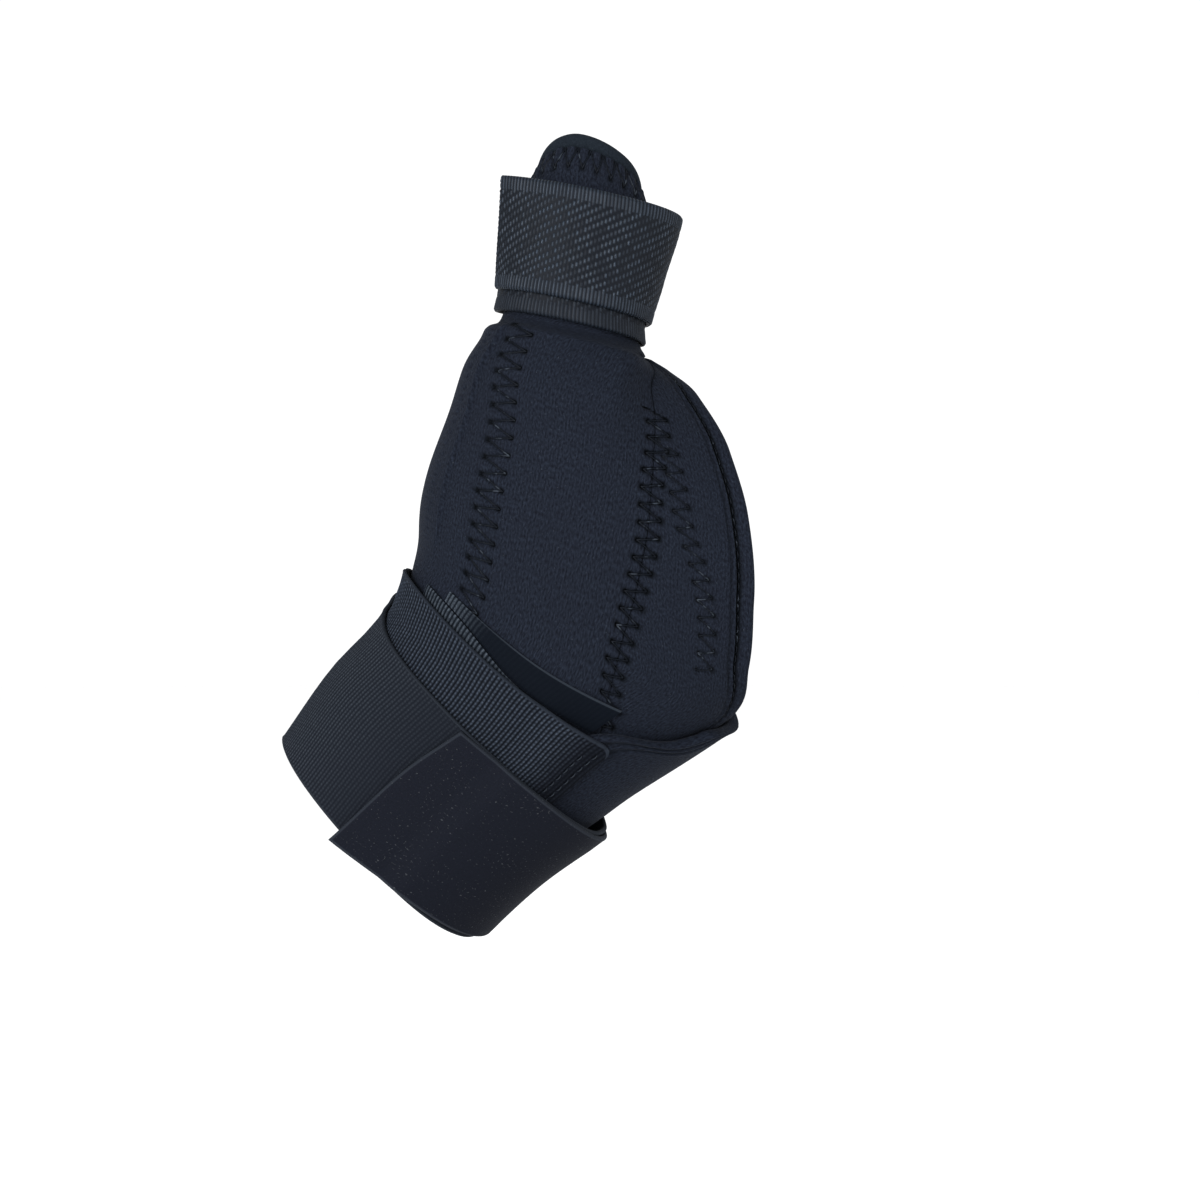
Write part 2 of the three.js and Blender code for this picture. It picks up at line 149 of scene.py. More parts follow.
def lay_cloth(name, across, along, place, weave=None, paint_shade=None, closed=False):
    """A closed sheet of cloth over a grid. across and along hold the measures of its lines, and
    place gives a point in millimetres at two such measures and a share of the wall. The place on
    the flat cloth, in millimetres too, comes from weave, or is measured along the cloth. The third
    function gives painted shade, from 0 to 1: how much darker the colour is painted in the hollows
    where stitches and folds press the cloth in."""
    bpy.ops.object.select_all(action="DESELECT")
    bpy.ops.mesh.primitive_grid_add(
        x_subdivisions=len(across) - 1, y_subdivisions=len(along) - 1, size=1)
    piece = bpy.context.object
    piece.name = name
    wall = piece.modifiers.new("wall", "SOLIDIFY")
    wall.thickness = 1
    wall.offset = 1
    bpy.ops.object.modifier_apply(modifier="wall")
    mesh = piece.data
    corners = np.empty(3 * len(mesh.vertices))
    mesh.vertices.foreach_get("co", corners)
    x, y, z = corners.reshape(-1, 3).T
    column = np.rint((x + 0.5) * (len(across) - 1)).astype(int)
    row = np.rint((y + 0.5) * (len(along) - 1)).astype(int)
    points = place(across[column], along[row], np.rint(z)) / 1000
    mesh.vertices.foreach_set("co", points.ravel())
    if weave:
        on_cloth = np.column_stack(weave(across[column], along[row]))
    else:
        under = place(*np.meshgrid(across, along, indexing="ij"), 0.0)
        middle = len(across) // 2
        round_it = run_of(under)
        on_cloth = np.column_stack([
            (round_it - round_it[middle])[column, row], run_of(under[middle])[row]])
    owner = np.empty(len(mesh.loops), int)
    mesh.loops.foreach_get("vertex_index", owner)
    mesh.uv_layers[0].name = "weave"
    mesh.uv_layers[0].data.foreach_set("uv", on_cloth[owner].ravel())
    if paint_shade:
        painted_shade = mesh.attributes.new("painted_shade", "FLOAT", "POINT")
        painted_shade.data.foreach_set("value", np.clip(paint_shade(across[column], along[row]), 0, 1))
    mesh.update()
    if closed:  # the two ends of a tube meet, at the ends of the grid, and join
        at_end = np.isclose(np.abs(x), 0.5)
        mesh.polygons.foreach_set("select", at_end[owner.reshape(-1, 4)].all(axis=1))
        bpy.context.tool_settings.mesh_select_mode = (False, False, True)
        bpy.ops.object.mode_set(mode="EDIT")
        bpy.ops.mesh.delete(type="ONLY_FACE")
        bpy.ops.mesh.select_all(action="SELECT")
        bpy.ops.mesh.remove_doubles(threshold=1e-6)
        bpy.ops.object.mode_set(mode="OBJECT")
    bpy.ops.object.shade_smooth_by_angle(angle=math.radians(60))
    return piece


class Socket:
    """An output socket, whose sums and products add Math nodes to its finish"""

    def __init__(self, finish, socket):
        self.finish = finish
        self.socket = socket

    def maths(self, operation, *numbers):
        values = dict(enumerate((self, *numbers)))
        return self.finish.node("ShaderNodeMath", {"operation": operation}, values)

    def __add__(self, other):
        return self.maths("ADD", other)

    def __sub__(self, other):
        return self.maths("SUBTRACT", other)

    def __rsub__(self, other):
        return self * -1 + other

    def __mul__(self, other):
        return self.maths("MULTIPLY", other)

    __radd__ = __add__
    __rmul__ = __mul__


def rgb(red, green, blue):
    """A colour from its linear parts in thousandths"""
    return (red / 1000, green / 1000, blue / 1000, 1)


class Finish:
    """A cloth's material, built node by node from its place on the flat cloth"""

    # Painted shade: the dark colour that hollows are painted towards, and how far at most
    painted_shade_dye = rgb(1, 2, 3)
    painted_shade_share = 0.85

    def __init__(self, name, roughness, sheen, gloss):
        self.material = bpy.data.materials.new(name)
        self.material.use_nodes = True
        self.tree = self.material.node_tree
        self.shader = self.tree.nodes["Principled BSDF"]
        self.fill(self.shader, {
            "Roughness": roughness, "Specular IOR Level": gloss, "Sheen Weight": sheen,
            "Sheen Roughness": 0.3, "Sheen Tint": (0.8, 0.88, 1, 1)})
        self.weave = self.node("ShaderNodeUVMap", {"uv_map": "weave"}, {})
        # the painted shade in hollows, from 0 to 1, which the cloth pieces carry
        self.painted_shade = self.node("ShaderNodeAttribute", {"attribute_name": "painted_shade"}, {}, 2)

    def node(self, kind, settings, sockets, output=0):
        made = self.tree.nodes.new(kind)
        for name, value in settings.items():
            setattr(made, name, value)
        self.fill(made, sockets)
        return Socket(self, made.outputs[output])

    def fill(self, node, sockets):
        for name, value in sockets.items():
            if isinstance(value, Socket):
                self.tree.links.new(value.socket, node.inputs[name])
            else:
                node.inputs[name].default_value = value

    def noise(self, pitch, stretch=1, detail=2, shift=0):
        """Cloudy noise with features about pitch wide and stretch times as long"""
        placed = self.node("ShaderNodeMapping", {}, {
            "Vector": self.weave, "Location": (shift, shift, 0),
            "Scale": (1 / pitch, 1 / pitch / stretch, 1 / pitch)})
        return self.node("ShaderNodeTexNoise", {}, {"Vector": placed, "Scale": 1, "Detail": detail})

    def axis(self, number):
        """The place round (0) or along (1) the cloth"""
        return self.node("ShaderNodeSeparateXYZ", {}, {"Vector": self.weave}, number)

    def step(self, value, start, end):
        """A value's rise from 0 at start to 1 at end"""
        return self.node("ShaderNodeMapRange", {"interpolation_type": "SMOOTHSTEP"},
                         {"Value": value, "From Min": start, "From Max": end})

    def band(self, value, start, end, soft):
        """1 between start and end, and 0 outside"""
        return self.step(value, start - soft, start + soft) * (
            1 - self.step(value, end - soft, end + soft))

    def wave(self, value, pitch):
        """Ridges from 0 to 1, a pitch apart"""
        return (value * (math.tau / pitch)).maths("COSINE") * 0.5 + 0.5

    def chance(self, first, second):
        """An even random number for each pair of whole numbers"""
        pair = self.node("ShaderNodeCombineXYZ", {}, {"X": first, "Y": second})
        return self.node("ShaderNodeTexWhiteNoise", {"noise_dimensions": "2D"}, {"Vector": pair})

    def blend(self, share, first, second):
        """A colour between two"""
        return self.node("ShaderNodeMix", {"data_type": "RGBA"}, {0: share, 6: first, 7: second}, 2)

    def dye(self, colour):
        """The cloth's colour, with painted shade: darker where stitches and folds press it in"""
        dyed = self.blend(self.painted_shade * self.painted_shade_share, colour, self.painted_shade_dye)
        self.fill(self.shader, {"Base Color": dyed})

    def relief(self, height, depth):
        """Raised and sunk detail of a depth in millimetres"""
        bumps = self.node(
            "ShaderNodeBump", {}, {"Strength": 1.0, "Distance": depth / 1000, "Height": height})
        self.fill(self.shader, {"Normal": bumps})


rim_tongue = 12  # how much higher the thumb end is in front than behind
tongue_turn = 78  # where it is highest
tongue_fullness = 0.3
sleeve_wall = 1.8
sleeve_inset = 24  # how far down it reaches inside the panels
layer_gap = 0.3  # between one layer of cloth and the next
rim_width = 3.6
rim_raise = 0.9
rim_lip = 0.8  # the rounding of the rim's inner edge


def rim_drop(turn):
    """How far the thumb end lies below its highest point"""
    off = np.mod(turn - tongue_turn + 180, 360) - 180
    near = np.where(off > 0, 1 - tongue_fullness * (1 - (off / 180) ** 4), 1)
    return rim_tongue * (1 - (0.5 + 0.5 * np.cos(np.radians(off * near))) ** 2)


def sleeve_place(turn, share, wall):
    drop = rim_drop(turn)
    station = mix(station_at(end_length - sleeve_inset), station_at(end_length - drop), share)
    below = (1 - share) * (sleeve_inset - drop)
    roll = np.sqrt(np.clip(1 - ((below - rim_width / 2) / (rim_width / 2)) ** 2, 0, 1))
    outer = -layer_gap + rim_raise * roll
    inner = -sleeve_wall - layer_gap + rim_lip * (1 - smooth(0, rim_lip, below)) ** 2
    return on_sleeve(station, turn, mix(inner, outer, wall))


sleeve_rows = np.concatenate([np.linspace(0, 0.66, 12), np.linspace(0.68, 1, 40)])
inner_layer = lay_cloth(
    "inner_layer", np.linspace(0, 360, 181), sleeve_rows, sleeve_place, closed=True)
lining = Finish("plain_neoprene", roughness=0.95, sheen=0.05, gloss=0.1)
fuzz = lining.noise(0.45, 1.3, 4)
flecks = lining.step(lining.noise(0.4, 1, 2, 30), 0.64, 0.76)
fuzzy_dye = lining.blend(fuzz, rgb(6, 9, 13), rgb(19, 25, 33))
lining.dye(lining.blend(flecks * 0.4, fuzzy_dye, rgb(60, 70, 80)))
lining.relief(fuzz + flecks * 0.5, 0.25)
inner_layer.data.materials.append(lining.material)
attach(inner_layer, "root")
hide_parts("thumb_sleeve")

# Thumb panel: the large panel of fabric-faced neoprene over the thumb, its ball and the radial
# side. A stay pocket is raised along its left side, and wide zigzags are sewn down both sides.
panel_wall = 2.5
border_drop = 3.4  # how far below the rim the panels are cut
edge_rows = [  # station, seam, palm panel's free edge, dorsal panel's start, tuck behind the thumb
    (0, 134, 160, 116, 0), (2, 133, 160, 116, 0), (3, 130, 161, 119, 0.01),
    (3.35, 122, 163, 126, 0.01), (3.6, 115.5, 166, 144, 0.01), (3.8, 111, 168, 153, 0.01),
    (3.9, 109.3, 169, 157.5, 0.011), (4.05, 107, 168, 185, 0.012), (4.2, 105, 160, 210, 0.013),
    (4.5, 102.5, 141.5, 227, 0.015), (5, 100, 128, 234, 0.018), (6, 99.8, 123.5, 237, 0.045),
    (7, 103, 126, 232, 0.11), (8, 113, 137, 221, 0.17), (9, 139, 161, 206, 0.18),
    (9.5, 153, 167, 203, 0.12), (10, 204, 172, 204, 0.03), (11, 214, 180, 214, 0),
    (13, 216, 180, 216, 0),
]
radial_seam = -24  # the turn of the seam on the far side
half_gap = 0.08  # half the slit between panels that are sewn edge to edge
cut_from = 11  # the section above which the rows close up to the cut end
tuck_before = 14
tuck_end = (165, 195)
small_turn = 0.5


def seam_at(station):
    """The turn of the seam between thumb panel and palm panel"""
    return read(edge_rows, 1, station)


def tuck_at(station, turn):
    """How far the cloth is pushed in beside the thumb, where the web folds"""
    seam = seam_at(station)
    depth = read(edge_rows, 4, station) * palm[1]
    return depth * smooth(seam - tuck_before, seam, turn) * (1 - smooth(*tuck_end, turn))


def as_turn(station, turn, length):
    """A length round the sleeve as degrees of turn"""
    step = on_sleeve(station, turn + small_turn, panel_wall) - on_sleeve(station, turn, panel_wall)
    return length * small_turn / np.linalg.norm(step, axis=-1)


def even_rows(start, *stretches):
    """Stations spaced evenly along the sleeve, in stretches given by their end and count"""
    rows = []
    for end, count in stretches:
        lengths = np.linspace(*np.interp([start, end], numbers, middle_run), count)
        stations = np.interp(lengths, middle_run, numbers)
        rows.append(stations[1:] if rows else stations)
        start = end
    return np.hstack(rows)


class Zigzag:
    """Zigzag stitches, which pull the cloth in at each needle hole and under each thread"""

    hole_spread = 0.6
    crease_spread = 0.2
    crease_share = 0.95  # of the holes' depth
    puff_share = 0.3  # and of the cloth's rise between the two rows of holes
    thread_arch = 0.42  # how far a thread rises between its holes
    thread_sunk = 0.5

    def __init__(self, width, pitch, depth):
        self.width, self.pitch, self.depth = width, pitch, depth

    def pull(self, station, turn):
        """How far the stitches pull the cloth in at places on it"""
        run, off, inside = self.find(station, turn)
        holes = 0
        for side, phase in ((-0.5, 0), (0.5, 0.5)):
            near = self.pitch / math.pi * np.sin(math.pi * (run / self.pitch - phase))
            aside = bell(off - side * self.width, self.hole_spread)
            holes = holes + aside * bell(near, self.hole_spread)
        leg = self.width * (0.5 - np.abs(2 * np.mod(run / self.pitch, 1) - 1))
        slant = self.pitch / math.hypot(self.pitch, 2 * self.width)
        crease = bell((off - leg) * slant, self.crease_spread)
        crease = crease * (np.abs(off) < self.width / 2 + 0.3)
        puff = 1 - smooth(0.3 * self.width, 0.8 * self.width, np.abs(off))
        pulled = holes + self.crease_share * crease - self.puff_share * puff
        return inside * self.depth * pulled

    def stitches(self):
        """Rows of points for the threads, from needle hole to needle hole"""
        rows = []
        share = np.linspace(0, 1, 9)
        arch = self.thread_arch * (1 - (2 * share - 1) ** 4)
        height = arch - self.thread_sunk - 0.4 * self.depth
        for number in range(int(self.length / self.pitch * 2)):
            off = self.width * (0.5 - share if number % 2 else share - 0.5)
            rows.append(self.spot((number + share) * self.pitch / 2, off, height))
        return rows


class LongZigzag(Zigzag):
    """A zigzag along the sleeve. Its right-hand holes lie on a line of stations and turns, or its
    middle does where side is 0."""

    def __init__(self, line, start, end, width, pitch, side, depth):
        super().__init__(width, pitch, depth)
        self.line, self.side = line, side
        self.stations = np.linspace(start, end, 400)
        turn = read(line, 1, self.stations)
        self.run = run_of(on_sleeve(self.stations, turn, panel_wall, tuck_at(self.stations, turn)))
        self.length = self.run[-1]

    def find(self, station, turn):
        run = np.interp(station, self.stations, self.run)
        off = (turn - read(self.line, 1, station)) / as_turn(station, turn, 1) - self.side
        return run, off, (station >= self.stations[0]) & (station <= self.stations[-1])

    def spot(self, run, off, height):
        station = np.interp(run, self.run, self.stations)
        line = read(self.line, 1, station)
        turn = line + as_turn(station, line, off + self.side)
        return on_sleeve(station, turn, panel_wall + height, tuck_at(station, turn))


left_line = [(0, 66), (3.3, 64), (4, 60), (4.5, 57.9), (5, 56.3), (6, 54.6), (7, 52.4),
             (8, 54.4), (9, 60.4), (9.7, 63)]
right_line = [(3.3, 124), (3.5, 119), (3.8, 111.3), (4, 107.7), (4.5, 102.5), (5, 100.4),
              (6, 100), (7, 104)]
palm_line = [(4.2, 134), (4.5, 125.3), (4.75, 118.9), (5, 113.9), (5.5, 107.8), (6, 106.1),
             (6.5, 105), (7.25, 105.4)]
radial_line = [(3, radial_seam), (13, radial_seam)]
left_zigzag = LongZigzag(left_line, 3.2, 9.6, width=6.4, pitch=4.15, side=-3.2, depth=0.6)
right_zigzag = LongZigzag(right_line, 3.3, 7.3, width=5.2, pitch=4.1, side=0, depth=0.85)
palm_zigzag = LongZigzag(palm_line, 4.3, 6.8, width=4.4, pitch=4.3, side=0, depth=0.5)
radial_zigzag = LongZigzag(radial_line, 3.2, 12.4, width=5.2, pitch=4.1, side=0, depth=0.6)


class BorderZigzag(Zigzag):
    """The zigzag round the thumb end, over the panels' cut edge"""

    turn_length = 0.25  # a degree's length round the thumb
    low = 8.3  # its lower holes' distance below the rim

    def __init__(self, width, stitches, depth):
        super().__init__(width, 360 * self.turn_length / stitches, depth)
        self.length = 360 * self.turn_length

    def find(self, station, turn):
        length = np.interp(station, numbers, middle_run) - wrist_start
        below = end_length - rim_drop(turn) - length
        return turn * self.turn_length, self.low - self.width / 2 - below, station > cut_from

    def spot(self, run, off, height):
        turn = run / self.turn_length
        station = station_at(end_length - rim_drop(turn) - self.low + self.width / 2 + off)
        return on_sleeve(station, turn, border_wall(off + self.width / 2) + height)


border_flat = 0.5  # the share of the wall that the border's stitches press flat


def border_wall(above_holes):
    """The wall at a distance from the lower holes towards the panels' cut edge"""
    return panel_wall * (1 - border_flat * smooth(0, BorderZigzag.low - border_drop, above_holes))


border_zigzag = BorderZigzag(width=4.7, stitches=26, depth=0.55)


def border_pull(station, turn):
    """How far the border's stitches press the panels in at places on them"""
    run, off, inside = border_zigzag.find(station, turn)
    flat = panel_wall - border_wall(off + border_zigzag.width / 2)
    return border_zigzag.pull(station, turn) + inside * flat


pocket_raise = 0.8
pocket_side = (-4, 12)  # the turns over which it rises on the far side
pocket_start, pocket_end = (3.4, 4.4), (8.6, 9.5)
ridge_line = [(3, 36), (4, 34), (5, 31.5), (6, 31.5), (7, 31), (8, 33.5), (9.4, 40)]
ridge_raise = 0.4
dent_off, dent_pitch, dent_depth = 3.2, 3.1, 0.45


def ridge_at(station):
    """The turn of the fine ridge along the pocket"""
    return read(ridge_line, 1, np.clip(station, ridge_line[0][0], ridge_line[-1][0]))


def pocket_lift(station, turn):
    """The stay pocket's height, with its fine ridge and the dents of the stitches beside it"""
    ridge = ridge_at(station)
    band = smooth(*pocket_start, station) * (1 - smooth(*pocket_end, station))
    rise = smooth(*pocket_side, turn) * (1 - smooth(ridge - 1.5, ridge + 1.6, turn))
    off = (turn - ridge) / as_turn(station, turn, 1)
    along = np.interp(station, numbers, middle_run)
    dents = bell(off + dent_off, 0.5) * ripple(along, dent_pitch) ** 2
    return band * (pocket_raise * rise + ridge_raise * bell(off, 0.16) - dent_depth * dents)


def panel_station(row, turn):
    """Rows stand at their stations, and close up above the thumb's middle to the cut end"""
    border = station_at(end_length - border_drop - rim_drop(turn))
    share = (row - cut_from) / (thumb_end - cut_from)
    return np.where(row <= cut_from, row, mix(cut_from, border, share))


thumb_columns = [14, 22, 12, 10, 26, 20, 18]  # faces from each of thumb_turn's lines to the next


def thumb_turn(share, row):
    """Columns gather beside the seams, the pocket's ridge and the left zigzag"""
    start = radial_seam + as_turn(row, radial_seam, half_gap)
    seam = seam_at(row)
    end = seam - as_turn(row, seam, half_gap)
    ridge = ridge_at(row)
    left = read(left_line, 1, np.clip(row, left_line[0][0], left_line[-1][0]))
    near = as_turn(np.minimum(row, 9.5), left, 1)
    lines = [start, start + 5 * near, ridge - 2.5, ridge + 2, left - 7.4 * near, left + 1.2 * near,
             end - 4.5 * near, end]
    keys = np.hstack([[0], np.cumsum(thumb_columns) / sum(thumb_columns)])
    fade = smooth(9, 10, row)
    at = [mix(line, mix(start, end, key), fade) for line, key in zip(lines, keys)]
    turn = np.zeros(np.broadcast(share, row).shape)
    for i in range(len(thumb_columns)):
        part = (share - keys[i]) / (keys[i + 1] - keys[i])
        turn = np.where((part >= -1e-9) & (part <= 1 + 1e-9), mix(at[i], at[i + 1], part), turn)
    return turn


def rounding(inset):
    """How far a panel's wall draws in from both faces at a distance from its edge"""
    radius = panel_wall / 2
    return 0.5 - np.sqrt(np.clip(1 - (1 - np.minimum(inset / radius, 1)) ** 2, 0, 1)) / 2


seam_rounding = 0.3  # the share of a free edge's rounding that a sewn edge has


def thumb_inset(row, turn):
    """The distance from the nearer of the panel's two seams"""
    off = np.minimum(turn - radial_seam, np.abs(seam_at(row) - turn))
    return off / as_turn(row, turn, 1)


def thumb_sewn(station, turn):
    """How far the long zigzags pull the panel in"""
    return sum(zigzag.pull(station, turn) for zigzag in (left_zigzag, right_zigzag, radial_zigzag))


def painted_shade_of(sewn, seam_off):
    """Painted shade: how much darker the colour is painted in the hollows of stitches that pull in
    by sewn, and in the crease beside a seam at a distance
    """
    return sewn * 1.6 + 0.45 * np.exp(-seam_off * 3)


def thumb_place(share, row, wall):
    turn = thumb_turn(share, row)
    station = panel_station(row, turn)
    pull = thumb_sewn(station, turn) + border_pull(station, turn)
    edge = seam_rounding * rounding(thumb_inset(row, turn))
    outer = panel_wall * (1 - edge) + pocket_lift(station, turn) - pull
    return on_sleeve(station, turn, mix(0, outer, wall), tuck_at(row, turn))


# Painted shade on the thumb panel: in the stitches' hollows, beside its seams and in the dents
# beside the pocket's ridge
def thumb_painted_shade(share, row):
    turn = thumb_turn(share, row)
    station = panel_station(row, turn)
    sewn = thumb_sewn(station, turn) + border_zigzag.pull(station, turn)
    dents = np.maximum(0, -pocket_lift(station, turn)) * 2
    return painted_shade_of(sewn, thumb_inset(row, turn)) + dents


thumb_panel = lay_cloth(
    "thumb_panel_cloth", np.linspace(0, 1, sum(thumb_columns) + 1),
    even_rows(0, (3, 24), (9.9, 280), (13, 60)), thumb_place, paint_shade=thumb_painted_shade)
jersey = Finish("jersey_face", roughness=0.85, sheen=0.03, gloss=0.12)
grain = jersey.noise(0.34, 2.4, 3)
specks = jersey.step(jersey.noise(0.42, 1.2, 2, 40), 0.66, 0.78)
clouds = jersey.noise(9, 2, 2, 7)
wales = jersey.wave(jersey.axis(0) + jersey.noise(3, 3, 1) * 0.4, 0.85)
knit = jersey.step(grain, 0.3, 0.72) * 0.8 + wales * 0.2
ground = jersey.blend(knit, rgb(3, 4, 8), rgb(19, 25, 38))
ground = jersey.blend(clouds * 0.5, ground, rgb(8, 10, 17))
jersey.dye(jersey.blend(specks * 0.55, ground, rgb(70, 82, 98)))
jersey.relief(knit + specks * 0.5, 0.11)
thumb_panel.data.materials.append(jersey.material)
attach(thumb_panel, "root")
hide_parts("thumb_panel")

# Palm panel: faced neoprene between the right seam and the free edge on the palm, which is turned
# in and stitched. Its lower corner lies under the dorsal panel's wing.
palm_top = 9.5
palm_breadth = 40
hem_reach = 8
palm_hem = [  # distance in from the free edge, height, breadth
    (1.7, 0.75, 1.6), (4.25, -0.9, 0.55), (5.2, 0.4, 0.4), (6, -0.3, 0.35)]
palm_hem_start = (3.6, 4.4)
hem_room = 0.85  # the share of a narrow panel that its hem may take
hem_lines = np.hstack(
    [[0, 0.06, 0.2, 0.42, 0.75, 1.15], np.arange(1.6, hem_reach + 0.01, 0.32)])


def hem_raise(form, off):
    """A hem's height over a flat panel: ridges and grooves at distances in from the free edge"""
    return sum(height * bell(off - at, breadth**2) for at, height, breadth in form)


def palm_edge_at(station):
    return read(edge_rows, 2, station)


def from_edge(station, edge, seam, off, breadth, inward):
    """Turns for distances on the flat cloth, in from a free edge to a seam. The hem's columns
    keep their distance from the edge, and the others share the rest."""
    in_hem = edge + as_turn(station, edge, inward * off)
    inner = edge + as_turn(station, edge, inward * hem_reach)
    rest = np.clip((off - hem_reach) / (breadth - hem_reach), 0, 1)
    return np.where(off <= hem_reach, in_hem, mix(inner, seam, rest))


def palm_turn(share, station):
    seam = seam_at(station)
    start = seam + as_turn(station, seam, half_gap)
    edge = palm_edge_at(station)
    room = np.abs(edge - start) * hem_room / as_turn(station, edge, 1)
    scale = np.minimum(1, room / hem_reach)
    return from_edge(station, edge, start, (1 - share) * palm_breadth, palm_breadth, -scale)


def palm_offs(station, turn):
    """The distances from the free edge and from the seam"""
    edge = palm_edge_at(station)
    off = np.abs(edge - turn) / as_turn(station, edge, 1)
    return off, (turn - seam_at(station)) / as_turn(station, turn, 1)


def palm_sewn(station, turn):
    return right_zigzag.pull(station, turn) + palm_zigzag.pull(station, turn)


def palm_place(share, station, wall):
    turn = palm_turn(share, station)
    off, seam_off = palm_offs(station, turn)
    raised = hem_raise(palm_hem, off) * smooth(*palm_hem_start, station)
    pinch = np.maximum(rounding(off), seam_rounding * rounding(seam_off))
    outer = panel_wall * (1 - pinch) + raised - palm_sewn(station, turn)
    lift = mix(rounding(off) * panel_wall, outer, wall)
    return on_sleeve(station, turn, lift, tuck_at(station, turn))


def hem_painted_shade(form, off):
    """Painted shade in a hem's grooves"""
    grooves = [(at, -1.6 * height, breadth) for at, height, breadth in form if height < 0]
    return hem_raise(grooves, off)


# Painted shade on the palm panel: in the stitches' hollows, beside its seam and in its hem's
# grooves
def palm_painted_shade(share, station):
    turn = palm_turn(share, station)
    off, seam_off = palm_offs(station, turn)
    hem_grooves_shade = hem_painted_shade(palm_hem, off) * smooth(*palm_hem_start, station)
    return painted_shade_of(palm_sewn(station, turn), seam_off) + hem_grooves_shade


palm_columns = np.hstack([hem_lines, np.linspace(hem_reach, palm_breadth, 78)[1:]])
palm_panel = lay_cloth(
    "palm_panel_cloth", np.sort(1 - palm_columns / palm_breadth),
    even_rows(0, (3, 20), (palm_top, 250)), palm_place, paint_shade=palm_painted_shade)
palm_panel.data.materials.append(jersey.material)
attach(palm_panel, "root")
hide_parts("palm_panel")

# Dorsal panel: faced neoprene over the back of the hand, hemmed along its free edge. Its wing
# comes round the ulnar side, over the palm panel, and its hem there lies in soft folds.
wing_lift = panel_wall + 1.5 * layer_gap
dorsal_breadth = 110
wing_hem = [(1.2, 0.45, 1.1), (2.9, -0.3, 0.5), (4.3, 0.25, 0.8), (5.8, -0.3, 0.5), (7.2, 0.1, 0.8)]
wing_end = (180, 208)  # the turns over which it comes down to the hollow
hem_end = (9.8, 10)
crotch_rounding = 0.7  # of its edge where the hem ends


def wing_on_top(turn):
    return 1 - smooth(*wing_end, turn)


def wing_edge_at(station):
    return read(edge_rows, 3, station)


def back_off(row, turn):
    """The distance from the seam on the far side"""
    return (radial_seam + 360 - turn) / as_turn(row, turn, 1)


def dorsal_turn(share, row):
    seam = seam_at(row)
    start = np.where(row < web, wing_edge_at(row), seam + as_turn(row, seam, half_gap))
    end = radial_seam + 360 - as_turn(row, radial_seam, half_gap)
    return from_edge(row, start, end, share * dorsal_breadth, dorsal_breadth, 1)


def dorsal_place(share, row, wall):
    turn = dorsal_turn(share, row)
    station = panel_station(row, turn)
    free = 1 - smooth(*hem_end, row)
    off = share * dorsal_breadth
    pinch = np.maximum(rounding(off) * mix(crotch_rounding, 1, free),
                       seam_rounding * rounding(back_off(row, turn)))
    pull = border_pull(station, turn) + radial_zigzag.pull(station, turn - 360)
    outer = panel_wall * (1 - pinch) + hem_raise(wing_hem, off) * free - pull
    lift = wing_lift * wing_on_top(turn) + mix(rounding(off) * free * panel_wall, outer, wall)
    return on_sleeve(station, turn, lift)


# Painted shade on the dorsal panel: in the stitches' hollows, beside its seam and in its hem's
# grooves
def dorsal_painted_shade(share, row):
    turn = dorsal_turn(share, row)
    station = panel_station(row, turn)
    sewn = border_zigzag.pull(station, turn) + radial_zigzag.pull(station, turn - 360)
    hem_grooves_shade = hem_painted_shade(wing_hem, share * dorsal_breadth) * (1 - smooth(*hem_end, row))
    return painted_shade_of(sewn, back_off(row, turn)) + hem_grooves_shade


before_seam = dorsal_breadth - 6
dorsal_columns = np.hstack([
    hem_lines, np.linspace(hem_reach, before_seam, 60)[1:],
    np.linspace(before_seam, dorsal_breadth, 16)[1:]]) / dorsal_breadth
dorsal_panel = lay_cloth(
    "dorsal_panel_cloth", dorsal_columns, even_rows(0, (3, 24), (5, 90), (9.9, 90), (13, 50)),
    dorsal_place, paint_shade=dorsal_painted_shade)
dorsal_panel.data.materials.append(jersey.material)
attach(dorsal_panel, "root")
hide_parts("dorsal_panel")

# Seam and hem threads: dark polyester, sewn as wide zigzags where the panels join, round the
# thumb end, beside the pocket and across the palm panel, and as a straight row along the hem.
thread_thickness = 0.4
stitch_pitch = 2.5
stitch_gap, stitch_share = 0.1, 0.68  # of the pitch, before a stitch and under it
stitch_dip = 0.4


def sew(name, rows, finish, thickness):
    """Threads, one through each row of points"""
    curve = bpy.data.curves.new(name, "CURVE")
    curve.dimensions = "3D"
    curve.bevel_depth = thickness / 2000
    curve.bevel_resolution = 1
    curve.use_fill_caps = True
    for points in rows:
        spline = curve.splines.new("POLY")
        spline.points.add(len(points) - 1)
        with_weight = np.column_stack([points / 1000, np.ones(len(points))])
        spline.points.foreach_set("co", with_weight.ravel())
    thread = bpy.data.objects.new(name, curve)
    bpy.context.collection.objects.link(thread)
    bpy.ops.object.select_all(action="DESELECT")
    thread.select_set(True)
    bpy.context.view_layer.objects.active = thread
    bpy.ops.object.convert(target="MESH")
    bpy.ops.object.shade_smooth()
    thread.data.materials.append(finish.material)
    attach(thread, "root")
    return thread


def straight_stitches(place, start, end, pitch, height):
    """Rows of points for a straight row of stitches. place gives points at measures from start to
    end and heights over the cloth."""
    measures = np.linspace(start, end, 600)
    run = run_of(place(measures, 0))
    share = np.linspace(0, 1, 7)
    rows = []
    for number in range(int(run[-1] / pitch)):
        at = np.interp((number + stitch_gap + stitch_share * share) * pitch, run, measures)
        rows.append(place(at, height - stitch_dip * (2 * share - 1) ** 4))
    return rows


